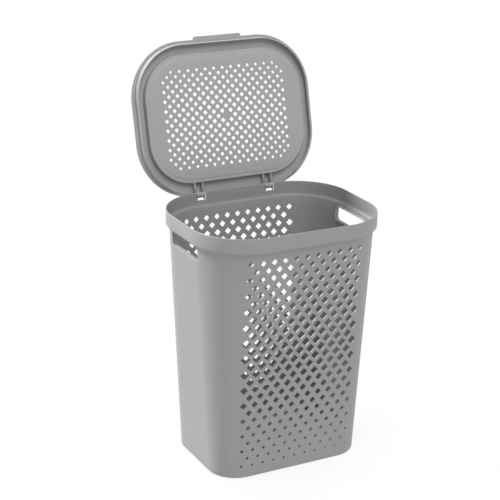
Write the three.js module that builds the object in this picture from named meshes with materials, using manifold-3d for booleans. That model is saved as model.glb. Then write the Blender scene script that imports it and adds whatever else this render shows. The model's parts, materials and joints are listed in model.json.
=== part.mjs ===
// Laundry hamper with a hinged, ventilated lid.
// Millimetres, +Z up, X across the width, the hinges on the +Y side.
// The lid stands open, leaning back past upright, as it does when somebody fills the hamper.
import * as THREE from "three";
import { mergeVertices } from "three/addons/utils/BufferGeometryUtils.js";
import Module from "manifold-3d";

const wasm = await Module();
wasm.setup();

// ---- sizes of the tub ----
const TUB_HEIGHT = 580;
const SHEET = 2.4;
const FLOOR_THICKNESS = 3;
const BASE_ROUNDING = 5;
const BASE_HALF_WIDTH = 182.8;
const BASE_HALF_DEPTH = 130.5;
const BASE_CORNER = 66;
const SHOULDER_Z = 542.6;
const SHOULDER_HALF_WIDTH = 215.3;
const SHOULDER_HALF_DEPTH = 167.3;
const SHOULDER_CORNER = 117;
const COLLAR_STEP = 8;
const COLLAR_ROUNDING = 7;
const LEDGE_Z = 547;
const CORNER_STEPS = 14;

// ---- handle slots in the short walls ----
const SLOT_HALF_LENGTH = 63;
const SLOT_LOW_Z = 507;
const SLOT_HIGH_Z = 540;
const SLOT_CORNER = 10;
const SLOT_FLANGE_DEPTH = 8;

// ---- hinges ----
const HINGE_X = 89;
const PIVOT_Y = 178.6;
const PIVOT_Z = 568.3;
const OPEN_ANGLE = THREE.MathUtils.degToRad(104.4);
const WINDOW_HALF_WIDTH = 12.2;
const WINDOW_LOW_Z = 561;
const WINDOW_HIGH_Z = 572;
const WINDOW_CORNER = 1.5;
const PIN_RADIUS = 1.8;
const LUG_BORE_RADIUS = 2.15;
const LUG_INNER_X = 8.2;
const LUG_OUTER_X = 11.4;
const LUG_EYE_RADIUS = 3.4;
const SIDE_GAP = 0.3;
const CLIP_PLATE_THICKNESS = 2.2;
const CLIP_PLATE_MARGIN = 0.8;
const CLIP_PLATE_CORNER = 3;
const BARREL_RADIUS = 3.1;
const SWING_RADIUS = 14.3;

// ---- sizes of the lid, given with the lid shut ----
const LID_UNDERSIDE_Z = 580.3;
const LID_HALF_WIDTH = 228.4;
const LID_HALF_DEPTH = 178;
const LID_CORNER = 130;
const LID_EDGE_ROUNDING = 0.9;
const DISH_HALF_WIDTH = 199;
const DISH_HALF_DEPTH = 146.5;
const DISH_CORNER = 99;
const DISH_DEPTH = 12;
const DISH_DRAFT = 2;
const PLUG_HALF_WIDTH = 220;
const PLUG_HALF_DEPTH = 172;
const PLUG_CORNER = 121.5;
const PLUG_DEPTH = 13.5;
const PLUG_DRAFT = 2.4;
const PLUG_GAP_LOW_X = 168;
const PLUG_GAP_MIDDLE_X = 161;
const PLUG_GAP_MIDDLE_RISE = 7.2;
const PLUG_GAP_HIGH_X = 135;
const PLUG_GAP_Y = 130;
const PLUG_STUB = 0.9;
const TAB_HALF_WIDTH = 61;
const TAB_REACH = 6.8;
const TAB_CORNER = 5;

// A closed geometry as a solid that can be joined and cut.
function solidOf(geometry) {
  const plain = geometry.clone();
  plain.deleteAttribute("normal");
  plain.deleteAttribute("uv");
  const welded = mergeVertices(plain, 1e-4);
  return new wasm.Manifold(
    new wasm.Mesh({
      numProp: 3,
      vertProperties: new Float32Array(welded.attributes.position.array),
      triVerts: new Uint32Array(welded.index.array),
    }),
  );
}

// A solid as a geometry for a mesh.
function geometryOf(solid) {
  const mesh = solid.getMesh();
  const geometry = new THREE.BufferGeometry();
  geometry.setAttribute("position", new THREE.BufferAttribute(mesh.vertProperties, 3));
  geometry.setIndex(new THREE.BufferAttribute(mesh.triVerts, 1));
  const faceted = geometry.toNonIndexed();
  faceted.computeVertexNormals();
  return faceted;
}

// A rectangle with round corners, as points that run anticlockwise seen from above.
function roundedOutline(halfX, halfY, corner, steps = CORNER_STEPS) {
  const points = [];
  const corners = [
    [halfX - corner, halfY - corner],
    [corner - halfX, halfY - corner],
    [corner - halfX, corner - halfY],
    [halfX - corner, corner - halfY],
  ];
  corners.forEach(([x, y], quarter) => {
    for (let step = 0; step <= steps; step += 1) {
      const angle = (Math.PI / 2) * (quarter + step / steps);
      points.push(new THREE.Vector2(x + corner * Math.cos(angle), y + corner * Math.sin(angle)));
    }
  });
  return points;
}

// A solid skinned over level outlines, lowest first: each level is { z, halfX, halfY, corner }.
function skinnedOver(levels) {
  const rings = levels.map((level) => roundedOutline(level.halfX, level.halfY, level.corner));
  const count = rings[0].length;
  const positions = [];
  rings.forEach((ring, i) => ring.forEach((point) => positions.push(point.x, point.y, levels[i].z)));
  const bottomCentre = rings.length * count;
  const topCentre = bottomCentre + 1;
  positions.push(0, 0, levels[0].z);
  positions.push(0, 0, levels[levels.length - 1].z);
  const index = [];
  for (let k = 0; k < count; k += 1) {
    const next = (k + 1) % count;
    for (let i = 0; i + 1 < rings.length; i += 1) {
      const low = i * count;
      const high = low + count;
      index.push(low + k, low + next, high + next);
      index.push(low + k, high + next, high + k);
    }
    const top = (rings.length - 1) * count;
    index.push(bottomCentre, next, k);
    index.push(topCentre, top + k, top + next);
  }
  const geometry = new THREE.BufferGeometry();
  geometry.setAttribute("position", new THREE.Float32BufferAttribute(positions, 3));
  geometry.setIndex(index);
  return solidOf(geometry);
}

// A flat shape pulled straight up from z = low to z = high.
function pulledUp(shape, low, high, curveSegments = 12) {
  const geometry = new THREE.ExtrudeGeometry(shape, {
    depth: high - low,
    bevelEnabled: false,
    curveSegments,
  });
  geometry.translate(0, 0, low);
  return solidOf(geometry);
}

// A shape drawn in the YZ plane and pulled along X from x = low to x = high.
function pulledAlongX(shape, low, high, curveSegments = 12) {
  const geometry = new THREE.ExtrudeGeometry(shape, {
    depth: high - low,
    bevelEnabled: false,
    curveSegments,
  });
  // the shape's x becomes Y, its y becomes Z, and the pull becomes X
  const turn = new THREE.Matrix4().set(0, 0, 1, low, 1, 0, 0, 0, 0, 1, 0, 0, 0, 0, 0, 1);
  geometry.applyMatrix4(turn);
  return solidOf(geometry);
}

// A shape drawn in the XZ plane and pulled along Y from y = low to y = high.
function pulledAlongY(shape, low, high, curveSegments = 12) {
  const geometry = new THREE.ExtrudeGeometry(shape, {
    depth: high - low,
    bevelEnabled: false,
    curveSegments,
  });
  // the shape's x stays X, its y becomes Z, and the pull becomes -Y
  const turn = new THREE.Matrix4().set(1, 0, 0, 0, 0, 0, -1, high, 0, 1, 0, 0, 0, 0, 0, 1);
  geometry.applyMatrix4(turn);
  return solidOf(geometry);
}

function rectangle(lowX, lowY, highX, highY, corner = 0) {
  const shape = new THREE.Shape();
  if (corner === 0) {
    shape.moveTo(lowX, lowY);
    shape.lineTo(highX, lowY);
    shape.lineTo(highX, highY);
    shape.lineTo(lowX, highY);
    shape.closePath();
    return shape;
  }
  shape.moveTo(lowX + corner, lowY);
  shape.lineTo(highX - corner, lowY);
  shape.absarc(highX - corner, lowY + corner, corner, -Math.PI / 2, 0);
  shape.lineTo(highX, highY - corner);
  shape.absarc(highX - corner, highY - corner, corner, 0, Math.PI / 2);
  shape.lineTo(lowX + corner, highY);
  shape.absarc(lowX + corner, highY - corner, corner, Math.PI / 2, Math.PI);
  shape.lineTo(lowX, lowY + corner);
  shape.absarc(lowX + corner, lowY + corner, corner, Math.PI, Math.PI * 1.5);
  return shape;
}

function disc(x, y, radius) {
  const shape = new THREE.Shape();
  shape.absarc(x, y, radius, 0, Math.PI * 2);
  return shape;
}

// ---- tub ----

// The drafted wall of the tub at a height, grown outwards by a distance.
function wallLevel(z, growth) {
  const share = z / SHOULDER_Z;
  return {
    z,
    halfX: THREE.MathUtils.lerp(BASE_HALF_WIDTH, SHOULDER_HALF_WIDTH, share) + growth,
    halfY: THREE.MathUtils.lerp(BASE_HALF_DEPTH, SHOULDER_HALF_DEPTH, share) + growth,
    corner: THREE.MathUtils.lerp(BASE_CORNER, SHOULDER_CORNER, share) + growth,
  };
}

// The upright collar round the mouth, grown outwards from the shoulder by a distance.
function collarLevel(z, growth) {
  return {
    z,
    halfX: SHOULDER_HALF_WIDTH + growth,
    halfY: SHOULDER_HALF_DEPTH + growth,
    corner: SHOULDER_CORNER + growth,
  };
}

function outsideOfTub() {
  return skinnedOver([
    wallLevel(0, -BASE_ROUNDING),
    wallLevel(BASE_ROUNDING * 0.3, -BASE_ROUNDING * 0.3),
    wallLevel(BASE_ROUNDING, 0),
    wallLevel(SHOULDER_Z, 0),
    collarLevel(SHOULDER_Z + 0.6, COLLAR_STEP - COLLAR_ROUNDING * 0.55),
    collarLevel(SHOULDER_Z + COLLAR_ROUNDING * 0.4, COLLAR_STEP - COLLAR_ROUNDING * 0.12),
    collarLevel(SHOULDER_Z + COLLAR_ROUNDING, COLLAR_STEP),
    collarLevel(TUB_HEIGHT - 0.8, COLLAR_STEP),
    collarLevel(TUB_HEIGHT, COLLAR_STEP - 0.8),
  ]);
}

function insideOfTub() {
  return skinnedOver([
    wallLevel(FLOOR_THICKNESS, -SHEET - BASE_ROUNDING * 0.6),
    wallLevel(FLOOR_THICKNESS + BASE_ROUNDING * 0.6, -SHEET),
    wallLevel(SHOULDER_Z, -SHEET),
    collarLevel(LEDGE_Z, -SHEET + 1.2),
    collarLevel(LEDGE_Z + 2.4, COLLAR_STEP - SHEET - 1),
    collarLevel(LEDGE_Z + 6, COLLAR_STEP - SHEET),
    collarLevel(TUB_HEIGHT - 0.6, COLLAR_STEP - SHEET),
    collarLevel(TUB_HEIGHT + 10, COLLAR_STEP - SHEET + 10),
  ]);
}

function slotShape(grown) {
  return rectangle(
    -SLOT_HALF_LENGTH - grown,
    SLOT_LOW_Z - grown,
    SLOT_HALF_LENGTH + grown,
    SLOT_HIGH_Z + grown,
    SLOT_CORNER + grown,
  );
}

function tubGeometry() {
  const outside = outsideOfTub();
  let tub = outside.subtract(insideOfTub());
  // a flange round each handle slot, standing into the tub so that it is smooth to the hand
  const nearWall = SHOULDER_HALF_WIDTH - SHEET - SLOT_FLANGE_DEPTH;
  for (const side of [-1, 1]) {
    const low = side > 0 ? nearWall : -SHOULDER_HALF_WIDTH;
    const high = side > 0 ? SHOULDER_HALF_WIDTH : -nearWall;
    tub = tub.add(pulledAlongX(slotShape(SHEET), low, high, 5).intersect(outside));
    tub = tub.subtract(pulledAlongX(slotShape(0), low - 20, high + 20, 5));
  }
  for (const side of [-1, 1]) {
    const x = side * HINGE_X;
    const window = rectangle(
      x - WINDOW_HALF_WIDTH,
      WINDOW_LOW_Z,
      x + WINDOW_HALF_WIDTH,
      WINDOW_HIGH_Z,
      WINDOW_CORNER,
    );
    tub = tub.subtract(pulledAlongY(window, 160, 190, 3));
  }
  return geometryOf(tub);
}

// ---- lid, built shut and then swung open about the pivot ----

function lidLevel(z, growth) {
  return {
    z,
    halfX: LID_HALF_WIDTH + growth,
    halfY: LID_HALF_DEPTH + growth,
    corner: LID_CORNER + growth,
  };
}

function dishLevel(z, growth) {
  return {
    z,
    halfX: DISH_HALF_WIDTH + growth,
    halfY: DISH_HALF_DEPTH + growth,
    corner: DISH_CORNER + growth,
  };
}

function plugLevel(z, growth) {
  return {
    z,
    halfX: PLUG_HALF_WIDTH + growth,
    halfY: PLUG_HALF_DEPTH + growth,
    corner: PLUG_CORNER + growth,
  };
}

// The wall that drops into the mouth of the tub. Its back is left out so that it can swing clear.
function lidPlug() {
  const high = LID_UNDERSIDE_Z + SHEET / 2;
  const low = LID_UNDERSIDE_Z - PLUG_DEPTH;
  const outer = skinnedOver([
    plugLevel(low, -PLUG_DRAFT - 0.7),
    plugLevel(low + 0.8, -PLUG_DRAFT),
    plugLevel(high, 0),
  ]);
  const inner = skinnedOver([
    plugLevel(low - 1, -PLUG_DRAFT - SHEET + 0.2),
    plugLevel(high + 1, -SHEET + 0.2),
  ]);
  // the gap's ends slope up, so that no part of the wall meets the collar as the lid swings
  const gap = new THREE.Shape();
  gap.moveTo(-PLUG_GAP_LOW_X, low - 5);
  gap.lineTo(PLUG_GAP_LOW_X, low - 5);
  gap.lineTo(PLUG_GAP_LOW_X, low);
  gap.lineTo(PLUG_GAP_MIDDLE_X, low + PLUG_GAP_MIDDLE_RISE);
  gap.lineTo(PLUG_GAP_HIGH_X, LID_UNDERSIDE_Z - PLUG_STUB);
  gap.lineTo(-PLUG_GAP_HIGH_X, LID_UNDERSIDE_Z - PLUG_STUB);
  gap.lineTo(-PLUG_GAP_MIDDLE_X, low + PLUG_GAP_MIDDLE_RISE);
  gap.lineTo(-PLUG_GAP_LOW_X, low);
  gap.closePath();
  return outer.subtract(inner).subtract(pulledAlongY(gap, PLUG_GAP_Y, 200));
}

function lidTab() {
  const front = -LID_HALF_DEPTH - TAB_REACH;
  const shape = rectangle(-TAB_HALF_WIDTH, front, TAB_HALF_WIDTH, front + 30, TAB_CORNER);
  return pulledUp(shape, LID_UNDERSIDE_Z, LID_UNDERSIDE_Z + SHEET, 4);
}

// The side view of a hinge lug: an eye round the pin, an arm up to the lid, and a heel that
// meets the collar below the window when the lid has swung fully open.
function lugShape() {
  const shape = new THREE.Shape();
  const y = PIVOT_Y;
  const z = PIVOT_Z;
  const top = LID_UNDERSIDE_Z + SHEET / 2;
  shape.moveTo(y + 3.6, top);
  shape.lineTo(y - 2.6, top);
  shape.lineTo(y - 2.6, z + 2.2);
  shape.absarc(y, z, LUG_EYE_RADIUS, Math.PI * 0.78, Math.PI * 1.5);
  shape.lineTo(y + 6.4, z - 2.6);
  shape.lineTo(y + 7.9, z - 1);
  shape.lineTo(y + 7.5, z + 0.4);
  shape.lineTo(y + 4.4, z + 2.4);
  shape.lineTo(y + 3.6, z + 4);
  shape.closePath();
  const bore = new THREE.Path();
  bore.absarc(y, z, LUG_BORE_RADIUS, 0, Math.PI * 2);
  shape.holes.push(bore);
  return shape;
}

function lidGeometry() {
  const under = LID_UNDERSIDE_Z;
  const top = under + SHEET;
  const floor = under - DISH_DEPTH;
  let lid = skinnedOver([
    lidLevel(under, -LID_EDGE_ROUNDING),
    lidLevel(under + LID_EDGE_ROUNDING, 0),
    lidLevel(top - LID_EDGE_ROUNDING, 0),
    lidLevel(top, -LID_EDGE_ROUNDING),
  ]);
  lid = lid.add(lidTab());
  lid = lid.add(
    skinnedOver([
      dishLevel(floor, -0.6),
      dishLevel(floor + 0.8, 0),
      dishLevel(under + SHEET / 2, DISH_DRAFT),
    ]),
  );
  lid = lid.subtract(
    skinnedOver([
      dishLevel(floor + SHEET, -SHEET),
      dishLevel(top - 0.6, DISH_DRAFT - SHEET),
      dishLevel(top + 10, DISH_DRAFT - SHEET + 10),
    ]),
  );
  lid = lid.add(lidPlug());
  // two stiffening ribs per hinge, from the dish to the plug, trimmed to swing past the rim
  const clearOfRim = pulledAlongX(disc(PIVOT_Y, PIVOT_Z, SWING_RADIUS), -120, 120, 24);
  for (const side of [-1, 1]) {
    for (const [low, high] of [
      [-LUG_OUTER_X, -LUG_INNER_X],
      [LUG_INNER_X, LUG_OUTER_X],
    ]) {
      const x = side * HINGE_X;
      const rib = rectangle(DISH_HALF_DEPTH - 1, floor + 1, 172, under + SHEET / 2);
      lid = lid.add(pulledAlongX(rib, x + low, x + high).subtract(clearOfRim));
      lid = lid.add(pulledAlongX(lugShape(), x + low, x + high));
    }
    const shelf = rectangle(
      side * HINGE_X - LUG_OUTER_X,
      LID_HALF_DEPTH - 10,
      side * HINGE_X + LUG_OUTER_X,
      PIVOT_Y + 3.6,
    );
    lid = lid.add(pulledUp(shelf, under, top));
  }
  return geometryOf(lid);
}

// ---- hinge clip: a plate inside the collar, a web through the window, a barrel and two pins ----

function clipGeometry() {
  const plateBack = SHOULDER_HALF_DEPTH + COLLAR_STEP - SHEET - SIDE_GAP;
  const plateFront = plateBack - CLIP_PLATE_THICKNESS;
  const plateHalf = WINDOW_HALF_WIDTH + CLIP_PLATE_MARGIN;
  const plateLow = WINDOW_HIGH_Z + SIDE_GAP;
  const plateHigh = TUB_HEIGHT - CLIP_PLATE_MARGIN;
  const webLow = WINDOW_HIGH_Z - 3.4;
  const webHigh = WINDOW_HIGH_Z - SIDE_GAP;
  const barrelHalf = LUG_INNER_X - SIDE_GAP;
  const plate = pulledAlongY(
    rectangle(-plateHalf, plateLow, plateHalf, plateHigh, CLIP_PLATE_CORNER),
    plateFront,
    plateBack,
    4,
  );
  const web = pulledAlongX(rectangle(plateFront, webLow, PIVOT_Y, webHigh), -barrelHalf, barrelHalf);
  const neck = pulledAlongX(
    rectangle(plateFront, webLow + 1, plateBack, plateLow + 3),
    -barrelHalf,
    barrelHalf,
  );
  const barrel = pulledAlongX(disc(PIVOT_Y, PIVOT_Z, BARREL_RADIUS), -barrelHalf, barrelHalf, 10);
  const pins = pulledAlongX(disc(PIVOT_Y, PIVOT_Z, PIN_RADIUS), -LUG_OUTER_X, LUG_OUTER_X, 10);
  return geometryOf(plate.add(web).add(neck).add(barrel).add(pins));
}

// ---- the hamper ----

function plastic(colour) {
  return new THREE.MeshStandardMaterial({ color: colour, roughness: 0.5, metalness: 0 });
}

function mesh(name, geometry, material) {
  const made = new THREE.Mesh(geometry, material);
  made.name = name;
  return made;
}

const hamper = new THREE.Group();
hamper.name = "laundry_hamper";

hamper.add(mesh("tub", tubGeometry(), plastic(0xb4b4b4)));

const clip = clipGeometry();
for (const [name, side] of [
  ["hinge_clip_left", -1],
  ["hinge_clip_right", 1],
]) {
  const made = mesh(name, clip, plastic(0xc4c4c4));
  made.position.x = side * HINGE_X;
  hamper.add(made);
}

const swing = new THREE.Group();
swing.position.set(0, PIVOT_Y, PIVOT_Z);
swing.rotation.x = -OPEN_ANGLE;
const lid = mesh("lid", lidGeometry(), plastic(0xb4b4b4));
lid.position.set(0, -PIVOT_Y, -PIVOT_Z);
swing.add(lid);
hamper.add(swing);

export default hamper;
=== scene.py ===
import json
import math

import bpy
from mathutils import Euler, Matrix, Vector

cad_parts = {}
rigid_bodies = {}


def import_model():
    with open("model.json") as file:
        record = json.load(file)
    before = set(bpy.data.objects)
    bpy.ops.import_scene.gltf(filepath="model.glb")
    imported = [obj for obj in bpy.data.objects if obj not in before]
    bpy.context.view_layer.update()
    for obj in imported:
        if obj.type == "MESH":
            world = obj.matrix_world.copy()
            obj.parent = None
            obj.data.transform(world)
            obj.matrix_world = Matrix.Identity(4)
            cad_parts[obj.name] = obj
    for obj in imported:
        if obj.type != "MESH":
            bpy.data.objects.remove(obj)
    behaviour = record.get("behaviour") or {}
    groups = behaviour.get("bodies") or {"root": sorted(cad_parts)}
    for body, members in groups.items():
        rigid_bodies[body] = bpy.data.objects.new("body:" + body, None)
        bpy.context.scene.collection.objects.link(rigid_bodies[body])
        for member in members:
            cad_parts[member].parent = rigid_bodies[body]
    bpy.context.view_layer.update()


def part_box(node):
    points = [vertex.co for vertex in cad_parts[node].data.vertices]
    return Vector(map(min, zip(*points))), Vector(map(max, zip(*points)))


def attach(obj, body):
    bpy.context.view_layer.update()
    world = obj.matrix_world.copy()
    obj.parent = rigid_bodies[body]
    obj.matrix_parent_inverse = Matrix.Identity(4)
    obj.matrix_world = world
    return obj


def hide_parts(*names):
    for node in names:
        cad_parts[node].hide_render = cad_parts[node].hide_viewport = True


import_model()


# ---------------------------------------------------------------------------
# Tub. One injection moulding in grey polypropylene: a tapered wall about
# 2.4 mm thick, an upright collar round the mouth, a flanged handle slot in
# each short side, and diamond holes cored through the two long walls.
# ---------------------------------------------------------------------------
TUB_SHEET = 0.0024
RIM_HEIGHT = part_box("tub")[1][2]
SHOULDER_HEIGHT = 0.5426
SHOULDER_HALF = (0.2153, 0.1673)
SHOULDER_CORNER = 0.117
BASE_HALF = (0.1828, 0.1305)
BASE_CORNER = 0.066
BASE_ROUNDING = 0.005
FLOOR_SHEET = 0.003
COLLAR_STEP = 0.008
COLLAR_ROUNDING = 0.007
COLLAR_MIDDLE = 0.562
LEDGE_HEIGHT = 0.547
WALL_DRAW_IN = 0.0066
DRAW_IN_END = 0.92
DRAW_IN_FADE = 0.36
FLOOR_MIDDLE = (0.060, 0.030, 0.02)
FOOT_RECESS = 0.0012
FOOT_INNER = 0.0105
FOOT_OUTER = 0.009
LEDGE_ROUNDING = 0.004
LEDGE_EDGE = 0.0014
FLOOR_ROUNDING = 0.005
WALL_STEPS = 29
POINTS_PER_CORNER = 26
POINTS_PER_LONG_SIDE = 22
POINTS_PER_SHORT_SIDE = 10


def rounded_ring(half_x, half_y, corner, height, draw_in=0.0):
    """A level ring, anticlockwise from above, with its long sides drawn in at the middle."""
    ring = []
    for quarter in range(4):
        centre_x = (half_x - corner) * (1 if quarter in (0, 3) else -1)
        centre_y = (half_y - corner) * (1 if quarter < 2 else -1)
        for step in range(POINTS_PER_CORNER):
            turn = math.pi / 2 * (quarter + step / POINTS_PER_CORNER)
            ring.append((centre_x + corner * math.cos(turn), centre_y + corner * math.sin(turn)))
        straight = half_x - corner if quarter % 2 == 0 else half_y - corner
        count = POINTS_PER_LONG_SIDE if quarter % 2 == 0 else POINTS_PER_SHORT_SIDE
        turn = math.pi / 2 * (quarter + 1)
        start = (centre_x + corner * math.cos(turn), centre_y + corner * math.sin(turn))
        along = ((-1, 0), (0, -1), (1, 0), (0, 1))[quarter]
        for step in range(count):
            share = step / count * 2 * straight
            ring.append((start[0] + along[0] * share, start[1] + along[1] * share))
    points = []
    for x, y in ring:
        fade = min(1.0, max(0.0, (DRAW_IN_END - abs(x) / half_x) / DRAW_IN_FADE))
        share = fade * fade * (3 - 2 * fade)
        points.append(Vector((x, y - math.copysign(draw_in * share, y), height)))
    return points


def skinned(name, rings, closed_loop=False):
    """A mesh skinned over rings. The ends are closed with a fan, or joined if it is a loop."""
    count = len(rings[0])
    vertices = [point for ring in rings for point in ring]
    faces = []
    spans = len(rings) if closed_loop else len(rings) - 1
    for level in range(spans):
        low = level * count
        high = (level + 1) % len(rings) * count
        for k in range(count):
            following = (k + 1) % count
            faces.append((low + k, low + following, high + following, high + k))
    if not closed_loop:
        for ring, start, flip in ((rings[0], 0, True), (rings[-1], (len(rings) - 1) * count, False)):
            middle = len(vertices)
            vertices.append(sum(ring, Vector()) / count)
            for k in range(count):
                following = (k + 1) % count
                face = (start + k, start + following, middle)
                faces.append(face[::-1] if flip else face)
    mesh = bpy.data.meshes.new(name)
    mesh.from_pydata([tuple(v) for v in vertices], [], faces)
    mesh.validate()
    mesh.update()
    piece = bpy.data.objects.new(name, mesh)
    bpy.context.scene.collection.objects.link(piece)
    return piece


def settled(piece):
    """Turns what a piece's modifiers make into its plain mesh."""
    depsgraph = bpy.context.evaluated_depsgraph_get()
    made = bpy.data.meshes.new_from_object(piece.evaluated_get(depsgraph))
    piece.modifiers.clear()
    old = piece.data
    piece.data = made
    bpy.data.meshes.remove(old)
    return piece


def joined(piece, other, operation):
    """Adds other to piece, or cuts it away, and drops other."""
    modifier = piece.modifiers.new("join", "BOOLEAN")
    modifier.operation = operation
    modifier.solver = "MANIFOLD"
    modifier.object = other
    settled(piece)
    bpy.data.objects.remove(other)
    return piece


def wall_half(height, growth):
    """Half width, half depth and corner radius of the drafted wall at a height."""
    share = height / SHOULDER_HEIGHT
    return tuple(
        low + (high - low) * share + growth
        for low, high in (
            (BASE_HALF[0], SHOULDER_HALF[0]),
            (BASE_HALF[1], SHOULDER_HALF[1]),
            (BASE_CORNER, SHOULDER_CORNER),
        )
    )


def wall_ring(height, growth):
    middle = (height - SHOULDER_HEIGHT / 2) / (SHOULDER_HEIGHT / 2)
    draw_in = WALL_DRAW_IN * max(0.0, 1 - middle * middle)
    return rounded_ring(*wall_half(height, growth), height, draw_in)


def collar_ring(height, growth):
    return rounded_ring(
        SHOULDER_HALF[0] + growth, SHOULDER_HALF[1] + growth, SHOULDER_CORNER + growth, height
    )


def arc_steps(count, start, end):
    """Pairs of cosine and sine for even steps of an arc, in degrees."""
    turns = [math.radians(start + (end - start) * k / count) for k in range(count + 1)]
    return [(math.cos(turn), math.sin(turn)) for turn in turns]


tub_rings = []
# foot: a shallow recess under the base, so that the tub stands on its edge
tub_rings.append(rounded_ring(*FLOOR_MIDDLE, FOOT_RECESS))
tub_rings.append(wall_ring(FOOT_RECESS, -BASE_ROUNDING - FOOT_INNER))
tub_rings.append(wall_ring(0.0, -BASE_ROUNDING - FOOT_OUTER))
for cosine, sine in arc_steps(5, -90, 0):
    tub_rings.append(wall_ring(BASE_ROUNDING * (1 + sine), -BASE_ROUNDING * (1 - cosine)))
for step in range(1, WALL_STEPS + 1):
    tub_rings.append(
        wall_ring(BASE_ROUNDING + (SHOULDER_HEIGHT - 0.0008 - BASE_ROUNDING) * step / WALL_STEPS, 0.0)
    )
# collar: a small hollow corner, then the rounded lower edge
tub_rings.append(collar_ring(SHOULDER_HEIGHT - 0.0001, 0.0003))
tub_rings.append(collar_ring(SHOULDER_HEIGHT, 0.0010))
for cosine, sine in arc_steps(6, -90, 0):
    growth = COLLAR_STEP - COLLAR_ROUNDING * 0.9 * (1 - cosine)
    tub_rings.append(collar_ring(SHOULDER_HEIGHT + COLLAR_ROUNDING * (1 + sine), growth))
tub_rings.append(collar_ring(COLLAR_MIDDLE, COLLAR_STEP))
lip = TUB_SHEET / 2
for cosine, sine in arc_steps(8, 0, 180):
    growth = COLLAR_STEP - lip + lip * cosine
    tub_rings.append(collar_ring(RIM_HEIGHT - lip + lip * sine, growth))
# inside: collar, ledge, wall and floor
inner = COLLAR_STEP - TUB_SHEET
tub_rings.append(collar_ring(COLLAR_MIDDLE, inner))
for cosine, sine in arc_steps(5, 0, -90):
    height = LEDGE_HEIGHT + LEDGE_ROUNDING + LEDGE_ROUNDING * sine
    tub_rings.append(collar_ring(height, inner - LEDGE_ROUNDING * (1 - cosine)))
tub_rings.append(collar_ring(LEDGE_HEIGHT - 0.0001, -TUB_SHEET + 0.0016))
for cosine, sine in arc_steps(3, 90, 180):
    height = LEDGE_HEIGHT - LEDGE_EDGE + LEDGE_EDGE * sine
    tub_rings.append(collar_ring(height, -TUB_SHEET + LEDGE_EDGE + LEDGE_EDGE * cosine))
for step in range(1, WALL_STEPS + 1):
    tub_rings.append(
        wall_ring(LEDGE_HEIGHT - 0.0044 - (LEDGE_HEIGHT - 0.0124) * step / WALL_STEPS, -TUB_SHEET)
    )
for cosine, sine in arc_steps(5, 0, -90):
    height = FLOOR_SHEET + FLOOR_ROUNDING * (1 + sine)
    tub_rings.append(wall_ring(height, -TUB_SHEET - FLOOR_ROUNDING * (1 - cosine)))
tub_rings.append(rounded_ring(*FLOOR_MIDDLE, FLOOR_SHEET))
tub = skinned("basket_tub", tub_rings)

# handle slots: a flange stands 8 mm into the tub round each one, and its edges are rounded
SLOT_HALF_LENGTH = 0.063
SLOT_LOW = 0.507
SLOT_HIGH = 0.540
SLOT_CORNER = 0.010
SLOT_CORNER_STEPS = 8
SLOT_ROUNDING = 0.0016
FLANGE_DEPTH = 0.008
FLANGE_EDGE = 0.0012
WALL_SLOPE = (SHOULDER_HALF[0] - BASE_HALF[0]) / SHOULDER_HEIGHT


def slot_ring(side, depth, growth):
    """The slot's outline, grown, at a depth in from the outside of the sloping short wall."""
    ring = []
    middle = (SLOT_LOW + SLOT_HIGH) / 2
    half_height = (SLOT_HIGH - SLOT_LOW) / 2
    steps = SLOT_CORNER_STEPS
    for quarter in range(4):
        along = (SLOT_HALF_LENGTH - SLOT_CORNER) * (1 if quarter in (0, 3) else -1)
        up = (half_height - SLOT_CORNER) * (1 if quarter < 2 else -1)
        for step in range(steps + 1):
            turn = math.pi / 2 * (quarter + step / steps)
            reach = SLOT_CORNER + growth
            y = along + reach * math.cos(turn)
            z = middle + up + reach * math.sin(turn)
            x = SHOULDER_HALF[0] - WALL_SLOPE * (SHOULDER_HEIGHT - z) - depth
            ring.append(Vector((side * x, y, z)))
    return ring if side > 0 else ring[::-1]


flange_end = TUB_SHEET + FLANGE_DEPTH
for side in (-1, 1):
    flange = []
    for cosine, sine in arc_steps(4, 90, 0):
        depth = flange_end + FLANGE_EDGE * sine - FLANGE_EDGE
        flange.append(slot_ring(side, depth, FLANGE_EDGE + FLANGE_EDGE * cosine))
    flange.append(slot_ring(side, 0.0014, 2 * FLANGE_EDGE))
    joined(tub, skinned("flange", flange), "UNION")
    cutter = [slot_ring(side, flange_end + 0.004, 0.004)]
    for cosine, sine in arc_steps(3, 90, 0):
        depth = flange_end - FLANGE_EDGE * (1 - sine)
        cutter.append(slot_ring(side, depth, FLANGE_EDGE * (1 - cosine)))
    for cosine, sine in arc_steps(5, 0, 90):
        cutter.append(slot_ring(side, SLOT_ROUNDING * (1 - sine), SLOT_ROUNDING * (1 - cosine)))
    cutter.append(slot_ring(side, -0.010, SLOT_ROUNDING))
    joined(tub, skinned("slot", cutter), "DIFFERENCE")

# hinge windows in the back of the collar
HINGE_OFFSET = (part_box("hinge_clip_right")[0][0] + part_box("hinge_clip_right")[1][0]) / 2
WINDOW_HALF = 0.0122
WINDOW_LOW = 0.561
WINDOW_HIGH = 0.572
WINDOW_CORNER = 0.0015
WINDOW_EASE = 0.0006


def window_ring(side, back, growth):
    ring = []
    corner = WINDOW_CORNER
    middle = (WINDOW_LOW + WINDOW_HIGH) / 2
    for quarter in range(4):
        along = (WINDOW_HALF - corner) * (1 if quarter in (0, 3) else -1)
        up = ((WINDOW_HIGH - WINDOW_LOW) / 2 - corner) * (1 if quarter < 2 else -1)
        for step in range(6):
            turn = math.pi / 2 * (quarter + step / 5)
            x = side * HINGE_OFFSET + along + (corner + growth) * math.cos(turn)
            ring.append(Vector((x, back, middle + up + (corner + growth) * math.sin(turn))))
    return ring[::-1]


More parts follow.
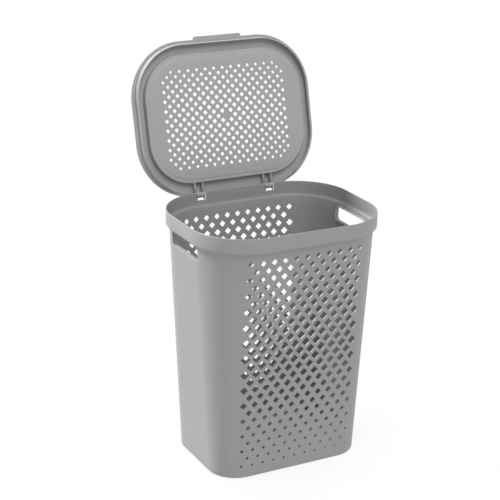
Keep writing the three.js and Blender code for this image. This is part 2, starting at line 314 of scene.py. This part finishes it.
collar_back = SHOULDER_HALF[1] + COLLAR_STEP
for side in (-1, 1):
    window = []
    for back, growth in (
        (collar_back - 0.020, WINDOW_EASE),
        (collar_back - TUB_SHEET, WINDOW_EASE),
        (collar_back - TUB_SHEET + WINDOW_EASE, 0.0),
        (collar_back - WINDOW_EASE, 0.0),
        (collar_back, WINDOW_EASE),
        (collar_back + 0.010, WINDOW_EASE),
    ):
        window.append(window_ring(side, back, growth))
    joined(tub, skinned("window", window), "DIFFERENCE")


class Signal:
    """A node socket that can be added, scaled and sent to other nodes."""

    def __init__(self, tree, socket=None):
        self.tree = tree
        self.socket = socket

    def node(self, kind, settings=None, inputs=None, output=0):
        """Makes a node: its settings first, then the values or links of its inputs."""
        made = self.tree.nodes.new(kind)
        for name, value in (settings or {}).items():
            if name == "curve":
                line = made.mapping.curves[0]
                for at, height in value[1:-1]:
                    line.points.new(at, height)
                line.points[0].location = value[0]
                line.points[-1].location = value[-1]
                made.mapping.update()
            else:
                setattr(made, name, value)
        for name, value in (inputs or {}).items():
            if isinstance(value, Signal):
                self.tree.links.new(value.socket, made.inputs[name])
            else:
                made.inputs[name].default_value = value
        return Signal(self.tree, made.outputs[output])

    def maths(self, operation, first, second=0.0):
        return self.node("ShaderNodeMath", {"operation": operation}, {0: first, 1: second})

    def __add__(self, other):
        return self.maths("ADD", self, other)

    __radd__ = __add__

    def __sub__(self, other):
        return self.maths("SUBTRACT", self, other)

    def __rsub__(self, other):
        return self.maths("SUBTRACT", other, self)

    def __mul__(self, other):
        return self.maths("MULTIPLY", self, other)

    __rmul__ = __mul__

    def __truediv__(self, other):
        return self.maths("DIVIDE", self, other)


PIN_HALF_LENGTH = 0.0042
PIN_STRAIGHT_HALF = 0.0007
PIN_FLARE = 110.0
PIN_CORNER = 0.07


def hole_grid_tree(name, row_sizes):
    """Cuts a staggered grid of diamond holes. Row sizes are a curve from the first row to the last."""
    tree = bpy.data.node_groups.new(name, "GeometryNodeTree")
    sockets = tree.interface
    sockets.new_socket("Moulding", in_out="INPUT", socket_type="NodeSocketGeometry")
    for label, kind, value in (
        ("Turn", "NodeSocketVector", (0, 0, 0)),
        ("Grid centre", "NodeSocketVector", (0, 0, 0)),
        ("Pitch across", "NodeSocketFloat", 0.02),
        ("Pitch along", "NodeSocketFloat", 0.02),
        ("Columns each way", "NodeSocketInt", 10),
        ("Rows each way", "NodeSocketInt", 10),
        ("Odd stagger", "NodeSocketFloat", 0.0),
        ("Column loss", "NodeSocketFloat", 0.0),
        ("First left out", "NodeSocketFloat", 0.5),
        ("Last left out", "NodeSocketFloat", 99.0),
        ("Sheet", "NodeSocketFloat", 0.0024),
        ("Plastic", "NodeSocketMaterial", None),
    ):
        socket = sockets.new_socket(label, in_out="INPUT", socket_type=kind)
        if value is not None:
            socket.default_value = value
    sockets.new_socket("Moulding", in_out="OUTPUT", socket_type="NodeSocketGeometry")
    entry = tree.nodes.new("NodeGroupInput")
    given = {socket.name: Signal(tree, socket) for socket in entry.outputs if socket.name}
    build = Signal(tree)
    columns = given["Columns each way"]
    rows = given["Rows each way"]
    across = given["Pitch across"] * 0.5
    along = given["Pitch along"] * 0.5
    grid = build.node(
        "GeometryNodeMeshGrid",
        inputs={
            "Size X": columns * 2 * across,
            "Size Y": rows * 2 * along,
            "Vertices X": columns * 2 + 1,
            "Vertices Y": rows * 2 + 1,
        },
    )
    place = build.node("GeometryNodeInputPosition")
    x = build.node("ShaderNodeSeparateXYZ", inputs={"Vector": place})
    y = build.node("ShaderNodeSeparateXYZ", inputs={"Vector": place}, output=1)
    column = build.maths("ROUND", x / across)
    row = build.maths("ROUND", y / along)
    far = build.maths("ABSOLUTE", column) + build.maths("ABSOLUTE", row)
    stagger = build.maths("FLOORED_MODULO", column + row + given["Odd stagger"] + 100, 2)
    between = build.maths("GREATER_THAN", stagger, 0.5)
    middle = build.maths("LESS_THAN", far, given["First left out"])
    beyond = build.maths("GREATER_THAN", far, given["Last left out"])
    unused = build.maths("GREATER_THAN", between + middle + beyond, 0.5)
    row_share = 0.5 - row / (2.0 * rows)
    size = build.node(
        "ShaderNodeFloatCurve", {"curve": row_sizes}, {"Factor": 1.0, "Value": row_share}
    )
    size = size - given["Column loss"] * column * column
    sized = build.node(
        "GeometryNodeStoreNamedAttribute",
        {"data_type": "FLOAT", "domain": "POINT"},
        {"Geometry": grid, "Name": "hole_size", "Value": size},
    )
    kept = build.node(
        "GeometryNodeDeleteGeometry", {"domain": "POINT"}, {"Geometry": sized, "Selection": unused}
    )
    turn = build.node("FunctionNodeEulerToRotation", inputs={"Euler": given["Turn"]})
    placed = build.node("FunctionNodeRotateVector", inputs={"Vector": place, "Rotation": turn})
    outwards = build.node(
        "FunctionNodeRotateVector", inputs={"Vector": (0.0, 0.0, 1.0), "Rotation": turn}
    )
    start = build.node(
        "ShaderNodeVectorMath", {"operation": "ADD"}, {0: placed, 1: given["Grid centre"]}
    )
    inwards = build.node("ShaderNodeVectorMath", {"operation": "SCALE"}, {0: outwards, "Scale": -1.0})
    moved = build.node("GeometryNodeSetPosition", inputs={"Geometry": kept, "Position": start})
    ray = {
        "Target Geometry": given["Moulding"],
        "Source Position": place,
        "Ray Direction": inwards,
        "Ray Length": 1.0,
    }
    hit = build.node("GeometryNodeRaycast", {"data_type": "FLOAT"}, ray, "Hit Position")
    facing = Signal(tree, hit.socket.node.outputs["Hit Normal"])
    seated = build.node(
        "GeometryNodeStoreNamedAttribute",
        {"data_type": "FLOAT_VECTOR", "domain": "POINT"},
        {"Geometry": moved, "Name": "wall_facing", "Value": facing},
    )
    half_sheet = build.node(
        "ShaderNodeVectorMath", {"operation": "SCALE"}, {0: inwards, "Scale": given["Sheet"] * 0.5}
    )
    centre = build.node("ShaderNodeVectorMath", {"operation": "ADD"}, {0: hit, 1: half_sheet})
    seated = build.node("GeometryNodeSetPosition", inputs={"Geometry": seated, "Position": centre})
    facing = build.node(
        "GeometryNodeInputNamedAttribute", {"data_type": "FLOAT_VECTOR"}, {"Name": "wall_facing"}
    )
    sideways = build.node(
        "FunctionNodeRotateVector", inputs={"Vector": (1.0, 0.0, 0.0), "Rotation": turn}
    )
    stance = build.node(
        "FunctionNodeAxesToRotation",
        {"primary_axis": "Z", "secondary_axis": "X"},
        {"Primary Axis": facing, "Secondary Axis": sideways},
    )
    # the core pin: a diamond with eased corners that widens a little at both faces of the sheet
    stem = build.node(
        "GeometryNodeCurvePrimitiveLine",
        inputs={"Start": (0, 0, -PIN_HALF_LENGTH), "End": (0, 0, PIN_HALF_LENGTH)},
    )
    stem = build.node("GeometryNodeResampleCurve", inputs={"Curve": stem, "Count": 13})
    height = build.node(
        "ShaderNodeSeparateXYZ", inputs={"Vector": build.node("GeometryNodeInputPosition")}, output=2
    )
    flare = build.maths("MAXIMUM", build.maths("ABSOLUTE", height) - PIN_STRAIGHT_HALF, 0.0)
    stem = build.node(
        "GeometryNodeSetCurveRadius", inputs={"Curve": stem, "Radius": 1.0 + flare * PIN_FLARE}
    )
    profile = build.node("GeometryNodeCurvePrimitiveCircle", inputs={"Resolution": 4, "Radius": 1.0})
    profile = build.node(
        "GeometryNodeFilletCurve",
        {"mode": "POLY"},
        {"Curve": profile, "Radius": PIN_CORNER, "Count": 2},
    )
    pin = build.node(
        "GeometryNodeCurveToMesh", inputs={"Curve": stem, "Profile Curve": profile, "Fill Caps": True}
    )
    hole_size = build.node(
        "GeometryNodeInputNamedAttribute", {"data_type": "FLOAT"}, {"Name": "hole_size"}
    )
    stretch = build.node(
        "ShaderNodeCombineXYZ",
        inputs={"X": hole_size * across, "Y": hole_size * across, "Z": 1.0},
    )
    pins = build.node(
        "GeometryNodeInstanceOnPoints",
        inputs={"Points": seated, "Instance": pin, "Rotation": stance, "Scale": stretch},
    )
    pins = build.node("GeometryNodeRealizeInstances", inputs={"Geometry": pins})
    cut = tree.nodes.new("GeometryNodeMeshBoolean")
    cut.operation = "DIFFERENCE"
    cut.solver = "MANIFOLD"
    tree.links.new(given["Moulding"].socket, cut.inputs["Mesh 1"])
    tree.links.new(pins.socket, cut.inputs["Mesh 2"])
    whole = Signal(tree, cut.outputs[0])
    whole = build.node("GeometryNodeRealizeInstances", inputs={"Geometry": whole})
    finished = build.node(
        "GeometryNodeSetMaterial", inputs={"Geometry": whole, "Material": given["Plastic"]}
    )
    leave = tree.nodes.new("NodeGroupOutput")
    tree.links.new(finished.socket, leave.inputs[0])
    return tree


def perforate(piece, tree, values):
    """Runs a hole grid on a piece and keeps the result as its mesh."""
    modifier = piece.modifiers.new("holes", "NODES")
    modifier.node_group = tree
    for item in tree.interface.items_tree:
        if item.in_out == "INPUT" and item.name in values:
            modifier[item.identifier] = values[item.name]
    return settled(piece)


def plastic_finish(name, colour, gloss):
    """Moulded polypropylene: an even colour, faint flow clouds and a fine spark-eroded grain."""
    material = bpy.data.materials.new(name)
    material.use_nodes = True
    tree = material.node_tree
    shader = tree.nodes["Principled BSDF"]
    build = Signal(tree)
    place = build.node("ShaderNodeTexCoord", output="Object")
    clouds = build.node(
        "ShaderNodeTexNoise", inputs={"Vector": place, "Scale": 9.0, "Detail": 3.0, "Roughness": 0.6}
    )
    specks = build.node(
        "ShaderNodeTexNoise", inputs={"Vector": place, "Scale": 900.0, "Detail": 2.0}
    )
    rubs = build.node(
        "ShaderNodeTexNoise", inputs={"Vector": place, "Scale": 45.0, "Detail": 4.0, "Roughness": 0.7}
    )
    pits = build.node(
        "ShaderNodeTexVoronoi", {"feature": "SMOOTH_F1"}, {"Vector": place, "Scale": 1400.0}
    )
    shade = 0.97 + clouds * 0.04 + (specks - 0.5) * 0.05
    tint = build.node(
        "ShaderNodeVectorMath", {"operation": "SCALE"}, {0: colour[:3], "Scale": shade}
    )
    tree.links.new(tint.socket, shader.inputs["Base Color"])
    roughness = gloss + (rubs - 0.5) * 0.12 + (clouds - 0.5) * 0.08
    tree.links.new(roughness.socket, shader.inputs["Roughness"])
    relief = pits * 0.6 + specks * 0.4
    bump = build.node(
        "ShaderNodeBump",
        inputs={"Strength": 0.22, "Distance": 0.00012, "Height": relief},
    )
    ripple = build.node(
        "ShaderNodeBump",
        inputs={"Strength": 0.15, "Distance": 0.0006, "Height": clouds, "Normal": bump},
    )
    tree.links.new(ripple.socket, shader.inputs["Normal"])
    shader.inputs["Metallic"].default_value = 0.0
    shader.inputs["IOR"].default_value = 1.49
    shader.inputs["Specular IOR Level"].default_value = 0.4
    return material


def shaded(piece):
    """Smooth shading, broken at the sharp angles."""
    piece.data.shade_smooth()
    piece.data.set_sharp_from_angle(angle=math.radians(32.0))


GREY_PLASTIC = (0.25, 0.25, 0.25, 1.0)
grey_plastic = plastic_finish("grey_polypropylene", GREY_PLASTIC, gloss=0.42)

WALL_PITCH_ACROSS = 0.02685
WALL_PITCH_ALONG = 0.03765
WALL_GRID_HEIGHT = 0.2752
WALL_ROWS = 13
WALL_FULLEST_ROW = -0.5
WALL_FULLEST_SIZE = 0.82
WALL_TOP_SIZE = 0.53
WALL_BOTTOM_SIZE = 0.265


def wall_size_curve():
    """Share of the pitch that each row's holes fill, from the top row (0) to the bottom row (1)."""
    curve = []
    for row in range(-WALL_ROWS, WALL_ROWS + 1, 2):
        upper = row < WALL_FULLEST_ROW
        end = -WALL_ROWS if upper else WALL_ROWS
        share = (row - WALL_FULLEST_ROW) / (end - WALL_FULLEST_ROW)
        loss = (WALL_FULLEST_SIZE - WALL_TOP_SIZE) * share**1.5
        if not upper:
            loss = (WALL_FULLEST_SIZE - WALL_BOTTOM_SIZE) * share**1.05
        curve.append(((row + WALL_ROWS) / (2 * WALL_ROWS), WALL_FULLEST_SIZE - loss))
    return curve


tub.data.materials.append(grey_plastic)
wall_tree = hole_grid_tree("wall_holes", wall_size_curve())
for turn in ((math.radians(90), 0, 0), (math.radians(90), 0, math.radians(180))):
    outwards = -1 if turn[2] == 0 else 1
    perforate(
        tub,
        wall_tree,
        {
            "Turn": turn,
            "Grid centre": (0, outwards * 0.3, WALL_GRID_HEIGHT),
            "Pitch across": WALL_PITCH_ACROSS,
            "Pitch along": WALL_PITCH_ALONG,
            "Columns each way": 10,
            "Rows each way": WALL_ROWS,
            "Odd stagger": 1.0,
            "Sheet": TUB_SHEET,
            "Plastic": grey_plastic,
        },
    )
shaded(tub)
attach(tub, "tub_body")
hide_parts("tub")


# ---------------------------------------------------------------------------
# Lid. One moulding in the same plastic: a flat rim, a dished panel full of
# diamond holes, a wall that drops into the tub's mouth, a finger tab, and a
# pair of ribs and lugs at each hinge. It is built shut, then swung open.
# ---------------------------------------------------------------------------
LID_SHEET = 0.0024
LID_UNDERSIDE = 0.5803
LID_HALF = (0.2284, 0.178)
LID_CORNER = 0.130
DISH_HALF = (0.199, 0.1465)
DISH_CORNER = 0.099
DISH_DEPTH = 0.012
DISH_DRAFT = 0.002
PLUG_HALF = (0.220, 0.172)
PLUG_CORNER = 0.1215
PLUG_DEPTH = 0.0135
PLUG_DRAFT = 0.0024
LID_EASE = 0.0016
LID_HOLLOW = 0.0005
PANEL_MIDDLE = (0.08, 0.05, 0.03)
PANEL_RISE = 0.0008
PANEL_INSET = 0.0078
PIVOT = Vector((0.0, 0.1786, 0.5683))
OPEN_TURN = math.radians(-104.4)


def lid_ring(half, corner, height, growth):
    return rounded_ring(half[0] + growth, half[1] + growth, corner + growth, height)


lid_top = LID_UNDERSIDE + LID_SHEET
dish_floor = LID_UNDERSIDE - DISH_DEPTH
lid_rings = [rounded_ring(*PANEL_MIDDLE, dish_floor - PANEL_RISE)]
for rise, outwards in ((1.0, -0.0016), (0.75, -0.0006), (0.1, 0.0), (0.0, 0.0006)):
    height = dish_floor - PANEL_RISE * rise
    lid_rings.append(lid_ring(DISH_HALF, DISH_CORNER, height, outwards - PANEL_INSET))
for cosine, sine in arc_steps(6, -90, 0):
    lid_rings.append(
        lid_ring(DISH_HALF, DISH_CORNER, dish_floor + LID_EASE * (1 + sine), -LID_EASE * (1 - cosine))
    )
for cosine, sine in arc_steps(5, 180, 90):
    lid_rings.append(
        lid_ring(
            DISH_HALF,
            DISH_CORNER,
            LID_UNDERSIDE - LID_HOLLOW * (1 - sine),
            DISH_DRAFT + LID_HOLLOW * (1 + cosine),
        )
    )
lip = LID_SHEET / 2
for cosine, sine in arc_steps(8, -90, 90):
    lid_rings.append(
        lid_ring(LID_HALF, LID_CORNER, LID_UNDERSIDE + lip + lip * sine, -lip * (1 - cosine))
    )
for cosine, sine in arc_steps(5, 90, 180):
    lid_rings.append(
        lid_ring(
            DISH_HALF,
            DISH_CORNER,
            lid_top - LID_EASE * (1 - sine),
            DISH_DRAFT - LID_SHEET + LID_EASE * (1 + cosine),
        )
    )
for cosine, sine in arc_steps(5, 0, -90):
    lid_rings.append(
        lid_ring(
            DISH_HALF,
            DISH_CORNER,
            dish_floor + LID_SHEET + LID_HOLLOW * (1 + sine),
            -LID_SHEET - LID_HOLLOW * (1 - cosine),
        )
    )
lid_rings.append(rounded_ring(*PANEL_MIDDLE, dish_floor + LID_SHEET))
lid = skinned("lid_moulding", lid_rings)

# the wall that locates in the mouth, open at the back so that it swings clear of the collar
plug_low = LID_UNDERSIDE - PLUG_DEPTH
PLUG_SHEET = 0.0022
plug_rings = [lid_ring(PLUG_HALF, PLUG_CORNER, LID_UNDERSIDE + 0.0012, 0.0)]
round_edge = PLUG_SHEET / 2
for cosine, sine in arc_steps(8, 0, -180):
    growth = -PLUG_DRAFT - round_edge + round_edge * cosine
    plug_rings.append(lid_ring(PLUG_HALF, PLUG_CORNER, plug_low + round_edge * (1 + sine), growth))
plug_rings.append(lid_ring(PLUG_HALF, PLUG_CORNER, LID_UNDERSIDE + 0.0012, -PLUG_SHEET))
plug = skinned("plug", plug_rings[::-1], closed_loop=True)


def prism(name, outline, low, high, axis, bevel=0.0, segments=2):
    """A flat outline pulled from low to high along X, Y or Z, with its edges eased."""
    place = {
        "X": lambda a, b, t: Vector((t, a, b)),
        "Y": lambda a, b, t: Vector((a, -t, b)),
        "Z": lambda a, b, t: Vector((a, b, t)),
    }[axis]
    if axis == "Y":
        low, high = -high, -low
    ends = [[place(a, b, at) for a, b in outline] for at in (low, high)]
    piece = skinned(name, ends)
    if bevel:
        modifier = piece.modifiers.new("ease", "BEVEL")
        modifier.width = bevel
        modifier.segments = segments
        modifier.limit_method = "ANGLE"
        modifier.angle_limit = math.radians(40)
        settled(piece)
    return piece


gap_outline = [
    (-0.168, plug_low - 0.005),
    (0.168, plug_low - 0.005),
    (0.168, plug_low),
    (0.161, plug_low + 0.0072),
    (0.135, LID_UNDERSIDE - 0.0009),
    (-0.135, LID_UNDERSIDE - 0.0009),
    (-0.161, plug_low + 0.0072),
    (-0.168, plug_low),
]
joined(plug, prism("gap", gap_outline, 0.13, 0.20, "Y"), "DIFFERENCE")
joined(lid, plug, "UNION")

# finger tab at the front
TAB_HALF = 0.061
TAB_REACH = 0.0068


def tab_outline():
    front = -LID_HALF[1] - TAB_REACH
    points = [(TAB_HALF, front + 0.03), (-TAB_HALF, front + 0.03)]
    for side, start in ((-1, 180), (1, 270)):
        for cosine, sine in arc_steps(6, start, start + 90):
            points.append((side * (TAB_HALF - 0.005) + 0.005 * cosine, front + 0.005 + 0.005 * sine))
    return points


joined(
    lid,
    prism("tab", tab_outline(), LID_UNDERSIDE + 0.0001, lid_top - 0.0001, "Z", 0.0008, 3),
    "UNION",
)

# hinge ribs in the channel and lugs behind the flange
LUG_INNER = 0.0082
LUG_OUTER = 0.0114


def circle(y, z, radius):
    """A circle of 40 points about a place in Y and Z."""
    turns = [math.tau * k / 40 for k in range(40)]
    return [(y + radius * math.cos(turn), z + radius * math.sin(turn)) for turn in turns]


def lug_outline():
    y, z = PIVOT.y, PIVOT.z
    top = LID_UNDERSIDE + LID_SHEET / 2
    points = [(y + 0.0036, top), (y - 0.0026, top), (y - 0.0026, z + 0.0022)]
    for cosine, sine in arc_steps(12, 140.4, 270):
        points.append((y + 0.0034 * cosine, z + 0.0034 * sine))
    points += [(y + 0.0064, z - 0.0026), (y + 0.0079, z - 0.001), (y + 0.0075, z + 0.0004)]
    points += [(y + 0.0044, z + 0.0024), (y + 0.0036, z + 0.004)]
    return points


rib_outline = [
    (DISH_HALF[1] - 0.001, dish_floor + 0.001),
    (DISH_HALF[1] + 0.0165, dish_floor + 0.001),
    (DISH_HALF[1] + 0.0200, dish_floor + 0.0075),
    (DISH_HALF[1] + 0.0235, LID_UNDERSIDE + 0.0012),
    (DISH_HALF[1] - 0.001, LID_UNDERSIDE + 0.0012),
]
for side in (-1, 1):
    for low, high in ((-LUG_OUTER, -LUG_INNER), (LUG_INNER, LUG_OUTER)):
        x = side * HINGE_OFFSET
        joined(lid, prism("rib", rib_outline, x + low, x + high, "X", 0.0005), "UNION")
        lug = prism("lug", lug_outline(), x + low, x + high, "X", 0.0005)
        bore = prism("bore", circle(PIVOT.y, PIVOT.z, 0.00215), x - 0.02, x + 0.02, "X")
        joined(lug, bore, "DIFFERENCE")
        joined(lid, lug, "UNION")
    shelf_outline = [
        (side * HINGE_OFFSET - LUG_OUTER, LID_HALF[1] - 0.01),
        (side * HINGE_OFFSET + LUG_OUTER, LID_HALF[1] - 0.01),
        (side * HINGE_OFFSET + LUG_OUTER, PIVOT.y + 0.0036),
        (side * HINGE_OFFSET - LUG_OUTER, PIVOT.y + 0.0036),
    ]
    shelf_low = LID_UNDERSIDE + 0.00005
    shelf_high = lid_top - 0.00005
    joined(lid, prism("shelf", shelf_outline, shelf_low, shelf_high, "Z", 0.0008, 3), "UNION")

LID_ROWS = 10
# the lid's holes shrink towards the outer rows and columns
lid_curve = [
    ((row + LID_ROWS) / (2 * LID_ROWS), 0.59 - 0.0013 * row * row)
    for row in range(-LID_ROWS, LID_ROWS + 1, 2)
]
lid.data.materials.append(grey_plastic)
lid_tree = hole_grid_tree("lid_holes", lid_curve)
perforate(
    lid,
    lid_tree,
    {
        "Turn": (0, 0, 0),
        "Grid centre": (0, 0, 0.7),
        "Pitch across": 0.02172,
        "Pitch along": 0.02191,
        "Columns each way": 14,
        "Rows each way": LID_ROWS,
        "Odd stagger": 0.0,
        "Column loss": 0.00038,
        "First left out": 0.5,
        "Last left out": 23.5,
        "Sheet": LID_SHEET,
        "Plastic": grey_plastic,
    },
)
lid.data.transform(
    Matrix.Translation(PIVOT) @ Matrix.Rotation(OPEN_TURN, 4, "X") @ Matrix.Translation(-PIVOT)
)
shaded(lid)
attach(lid, "lid_body")
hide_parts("lid")


# ---------------------------------------------------------------------------
# Hinge clips. Two small mouldings in a paler grey: a plate inside the
# collar, four thin ribs through the window, and a barrel with a pin at each
# end that the lid's lugs turn on.
# ---------------------------------------------------------------------------
CLIP_PLASTIC = (0.42, 0.42, 0.42, 1.0)
clip_plastic = plastic_finish("pale_polypropylene", CLIP_PLASTIC, gloss=0.36)
PLATE_BACK = SHOULDER_HALF[1] + COLLAR_STEP - TUB_SHEET - 0.0003
PLATE_FRONT = PLATE_BACK - 0.0022
PLATE_HALF = WINDOW_HALF + 0.0008
PLATE_LOW = WINDOW_HIGH + 0.0003
PLATE_HIGH = 0.5792
PIN_RADIUS = 0.0018
BARREL_RADIUS = 0.0031
BARREL_HALF = LUG_INNER - 0.0003
WEB_FRONT = SHOULDER_HALF[1] + COLLAR_STEP + 0.0002


def box_outline(left, low, right, high, corner):
    """A rectangle with rounded corners, anticlockwise."""
    points = []
    for across, up, start in (
        (right - corner, low + corner, 270),
        (right - corner, high - corner, 0),
        (left + corner, high - corner, 90),
        (left + corner, low + corner, 180),
    ):
        for cosine, sine in arc_steps(5, start, start + 90):
            points.append((across + corner * cosine, up + corner * sine))
    return points


for side, name in ((-1, "hinge_clip_left"), (1, "hinge_clip_right")):
    x = side * HINGE_OFFSET
    plate = box_outline(x - PLATE_HALF, PLATE_LOW, x + PLATE_HALF, PLATE_HIGH, 0.003)
    clip = prism("shown_" + name, plate, PLATE_FRONT, PLATE_BACK, "Y", 0.0007, 4)
    groove = box_outline(x - PLATE_HALF + 0.003, 0.5752, x + PLATE_HALF - 0.003, 0.5764, 0.0005)
    joined(clip, prism("groove", groove, PLATE_FRONT - 0.002, PLATE_FRONT + 0.0007, "Y"), "DIFFERENCE")
    web = box_outline(WEB_FRONT, WINDOW_HIGH - 0.0034, PIVOT.y, WINDOW_HIGH - 0.0003, 0.0006)
    joined(clip, prism("web", web, x - BARREL_HALF, x + BARREL_HALF, "X", 0.0003), "UNION")
    neck = box_outline(PLATE_FRONT + 0.0002, PIVOT.z - 0.0012, PIVOT.y, PLATE_LOW + 0.003, 0.0006)
    for across in (-BARREL_HALF, -0.0031, 0.0023, BARREL_HALF - 0.0008):
        rib = prism("neck", neck, x + across, x + across + 0.0008, "X", 0.0002)
        joined(clip, rib, "UNION")
    barrel = circle(PIVOT.y, PIVOT.z, BARREL_RADIUS)
    joined(clip, prism("barrel", barrel, x - BARREL_HALF, x + BARREL_HALF, "X", 0.0004), "UNION")
    pin = circle(PIVOT.y, PIVOT.z, PIN_RADIUS)
    joined(clip, prism("pin", pin, x - LUG_OUTER, x + LUG_OUTER, "X", 0.0004), "UNION")
    clip.data.materials.clear()
    clip.data.materials.append(clip_plastic)
    shaded(clip)
    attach(clip, "tub_body")
    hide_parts(name)


# ---------------------------------------------------------------------------
# Studio: a pale floor, an even surround, a soft light from above the front,
# one on the lid, a key from behind on the left, a weak fill, a wash on the
# floor, and the camera in front, above the rim.
# ---------------------------------------------------------------------------
bpy.ops.mesh.primitive_plane_add(size=1600.0)
floor = bpy.context.object
floor.name = "studio_floor"
floor_paper = bpy.data.materials.new("floor_paper")
floor_paper.use_nodes = True
floor_shader = floor_paper.node_tree.nodes["Principled BSDF"]
floor_shader.inputs["Base Color"].default_value = (0.74, 0.74, 0.74, 1.0)
floor_shader.inputs["Roughness"].default_value = 1.0
floor_shader.inputs["Specular IOR Level"].default_value = 0.0
floor.data.materials.append(floor_paper)

world = bpy.data.worlds.new("studio_surround")
bpy.context.scene.world = world
world.use_nodes = True
world.node_tree.nodes["Background"].inputs["Color"].default_value = (1.0, 1.0, 1.0, 1.0)
world.node_tree.nodes["Background"].inputs["Strength"].default_value = 0.56


hamper_only = bpy.data.collections.new("lit_hamper")
floor_only = bpy.data.collections.new("lit_floor")
floor_only.objects.link(floor)
for piece in bpy.context.scene.objects:
    if piece.type == "MESH" and piece is not floor:
        hamper_only.objects.link(piece)
lid_only = bpy.data.collections.new("lit_lid")
lid_only.objects.link(lid)


def broad_light(name, azimuth, elevation, spread, strength, lit):
    """A distant light on one collection. Azimuth 0 is from -X, 90 from -Y and -90 from +Y."""
    lamp = bpy.data.lights.new(name, "SUN")
    lamp.energy = strength * math.pi
    lamp.angle = math.radians(spread)
    holder = bpy.data.objects.new(name, lamp)
    round_z = math.radians(azimuth)
    up = math.radians(elevation)
    level = math.cos(up)
    towards = Vector((-math.cos(round_z) * level, -math.sin(round_z) * level, math.sin(up)))
    holder.rotation_euler = towards.to_track_quat("Z", "Y").to_euler()
    holder.location = towards * 4.0
    bpy.context.scene.collection.objects.link(holder)
    holder.light_linking.receiver_collection = lit
    holder.light_linking.blocker_collection = hamper_only if lit is lid_only else lit


broad_light("front_above", 90, 60, 40, 0.56, hamper_only)
broad_light("lid_wash", 90, 60, 50, 0.42, lid_only)
broad_light("key_back_left", -50, 44, 12, 1.8, hamper_only)
broad_light("fill_front_right", 60, 20, 50, 0.06, hamper_only)
broad_light("floor_wash", 90, 80, 10, 0.86, floor_only)

camera_data = bpy.data.cameras.new("camera")
camera_data.sensor_width = 36.0
camera_data.lens = 106.6
camera_data.clip_end = 2000.0
camera = bpy.data.objects.new("camera", camera_data)
camera.location = (-1.5157, -2.7364, 1.5929)
camera.rotation_euler = Euler((math.radians(70.427), math.radians(-0.966), math.radians(-27.786)))
bpy.context.scene.collection.objects.link(camera)
bpy.context.scene.camera = camera
bpy.context.scene.view_settings.view_transform = "Standard"
